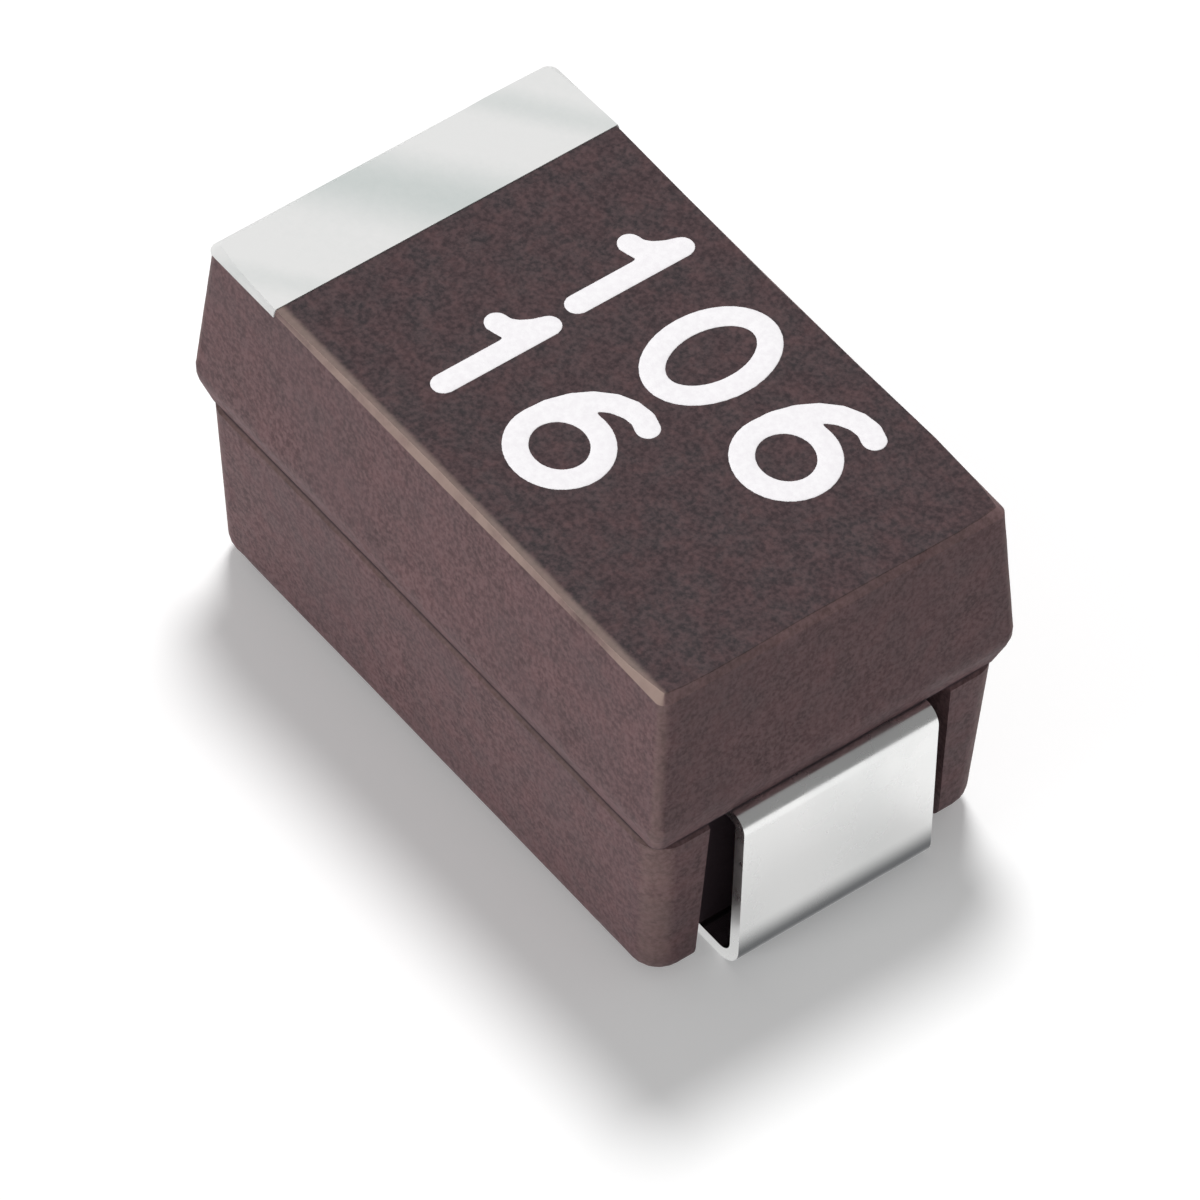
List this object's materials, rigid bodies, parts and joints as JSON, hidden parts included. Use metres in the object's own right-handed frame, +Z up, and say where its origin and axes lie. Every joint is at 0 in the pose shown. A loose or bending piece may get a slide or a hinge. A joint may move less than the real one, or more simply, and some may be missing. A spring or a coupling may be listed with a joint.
{
  "type": "tantalum capacitor",
  "caption": "Moulded rectangular surface-mount tantalum capacitor with formed flat end terminals, a printed polarity band and the sintered element inside.",
  "frame": {"origin": "on the board plane under the middle of the part, midway between the two solder feet", "axes": "+X along the length to the cathode end, -X to the anode end with the printed band, +Y across the width, +Z up off the board"},
  "size_m": [0.0074, 0.0042, 0.0042],
  "materials": {
    "moulding_epoxy": "matte",
    "silver_ink": "satin",
    "tinned_lead": "satin",
    "sintered_tantalum": "porous matte",
    "tantalum_wire": "drawn",
    "washer_white": "waxy",
    "manganese_dioxide": "matte",
    "graphite": "matte",
    "silver_paint": "matte",
    "silver_epoxy": "matte"
  },
  "bodies": {
    "root": {"moulded_case": "moulding_epoxy", "polarity_band": "silver_ink", "anode_terminal": "tinned_lead", "cathode_terminal": "tinned_lead", "tantalum_pellet": "sintered_tantalum", "anode_wire": "tantalum_wire", "insulating_washer": "washer_white", "manganese_dioxide_coat": "manganese_dioxide", "graphite_coat": "graphite", "silver_coat": "silver_paint", "silver_adhesive": "silver_epoxy"}
  },
  "joints": []
}
